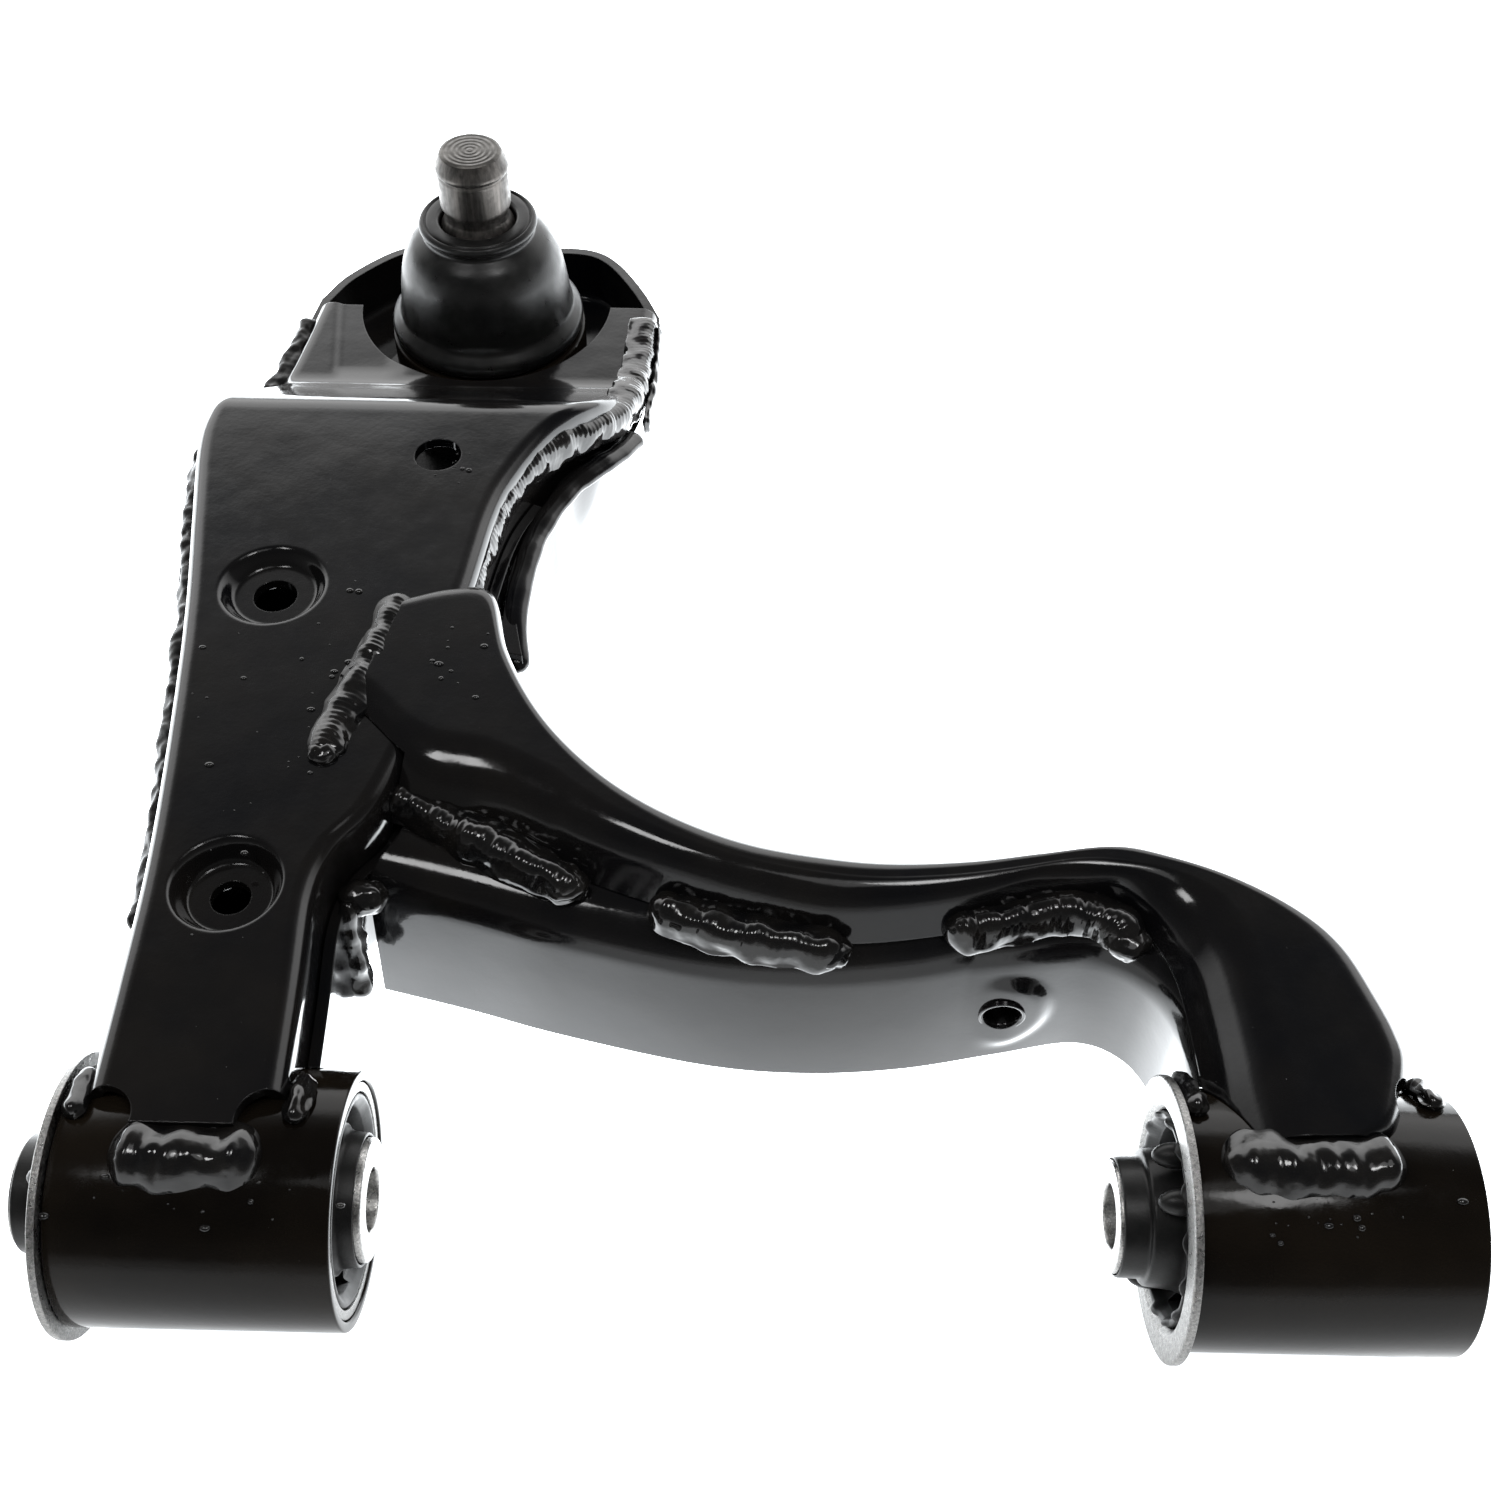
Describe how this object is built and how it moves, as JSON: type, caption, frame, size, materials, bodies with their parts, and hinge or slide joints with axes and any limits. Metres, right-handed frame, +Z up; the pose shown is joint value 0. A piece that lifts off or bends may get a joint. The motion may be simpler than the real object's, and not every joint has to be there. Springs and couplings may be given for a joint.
{
  "type": "suspension control arm",
  "caption": "A-shaped welded sheet-steel suspension control arm with two coaxial rubber bushes and a pinch-bolt ball joint in a rubber dust boot.",
  "frame": {"origin": "under the middle of the arm's bounding box, on the plane the arm rests on", "axes": "+X along the bush axis towards the bush at the brace's end, +Y from the bush axis to the ball joint, +Z up along the ball stud"},
  "size_m": [0.3432, 0.4072, 0.1024],
  "materials": {
    "paint": "gloss black",
    "steel": "bare machined",
    "stud": "phosphated",
    "rubber": "matte",
    "seat": "natural"
  },
  "bodies": {
    "arm": {"main_arm_upper_shell": "paint", "main_arm_lower_shell": "paint", "ball_joint_carrier": "paint", "brace_upper_shell": "paint", "brace_lower_shell": "paint", "left_bush_housing": "paint", "left_bush_outer_shell": "steel", "left_bush_rubber": "rubber", "right_bush_housing": "paint", "right_bush_outer_shell": "steel", "right_bush_rubber": "rubber", "ball_joint_housing": "paint", "ball_joint_cover": "steel", "ball_seat": "seat", "boot_base_ring": "steel", "left_seam_weld": "paint", "left_flap_weld": "paint", "right_seam_weld": "paint", "tongue_weld": "paint", "brace_stitch_weld_1": "paint", "brace_stitch_weld_2": "paint", "brace_stitch_weld_3": "paint", "brace_corner_weld": "paint", "left_bush_top_weld": "paint", "right_bush_top_weld": "paint", "left_bush_outer_side_weld": "paint", "left_bush_inner_side_weld": "paint", "right_bush_inner_side_weld": "paint", "right_bush_outer_side_weld": "paint"},
    "left_sleeve": {"left_bush_inner_sleeve": "steel"},
    "right_sleeve": {"right_bush_inner_sleeve": "steel"},
    "boot": {"dust_boot": "rubber"},
    "boot_collar": {"boot_top_ring": "steel"},
    "stud": {"ball_stud": "stud"}
  },
  "joints": [
    {"name": "left_bush_twist", "type": "hinge", "parent": "arm", "child": "left_sleeve", "pos_m": [-0.1229, -0.1706, 0.033], "axis": [1, 0, 0], "range_deg": [-20, 20], "stiffness_Nm_per_rad": 40},
    {"name": "right_bush_twist", "type": "hinge", "parent": "arm", "child": "right_sleeve", "pos_m": [0.1311, -0.1706, 0.033], "axis": [1, 0, 0], "range_deg": [-20, 20], "stiffness_Nm_per_rad": 40},
    {"name": "ball_joint_tilt_x", "type": "hinge", "parent": "arm", "child": "boot", "pos_m": [-0.0898, 0.1594, 0.023], "axis": [1, 0, 0], "range_deg": [-18, 18], "deforming": ["dust_boot"]},
    {"name": "ball_joint_tilt_y", "type": "hinge", "parent": "boot", "child": "boot_collar", "pos_m": [-0.0898, 0.1594, 0.023], "axis": [0, 1, 0], "range_deg": [-18, 18], "deforming": ["dust_boot"]},
    {"name": "ball_joint_turn", "type": "hinge", "parent": "boot_collar", "child": "stud", "pos_m": [-0.0898, 0.1594, 0.023], "axis": [0, 0, 1], "continuous": true}
  ]
}
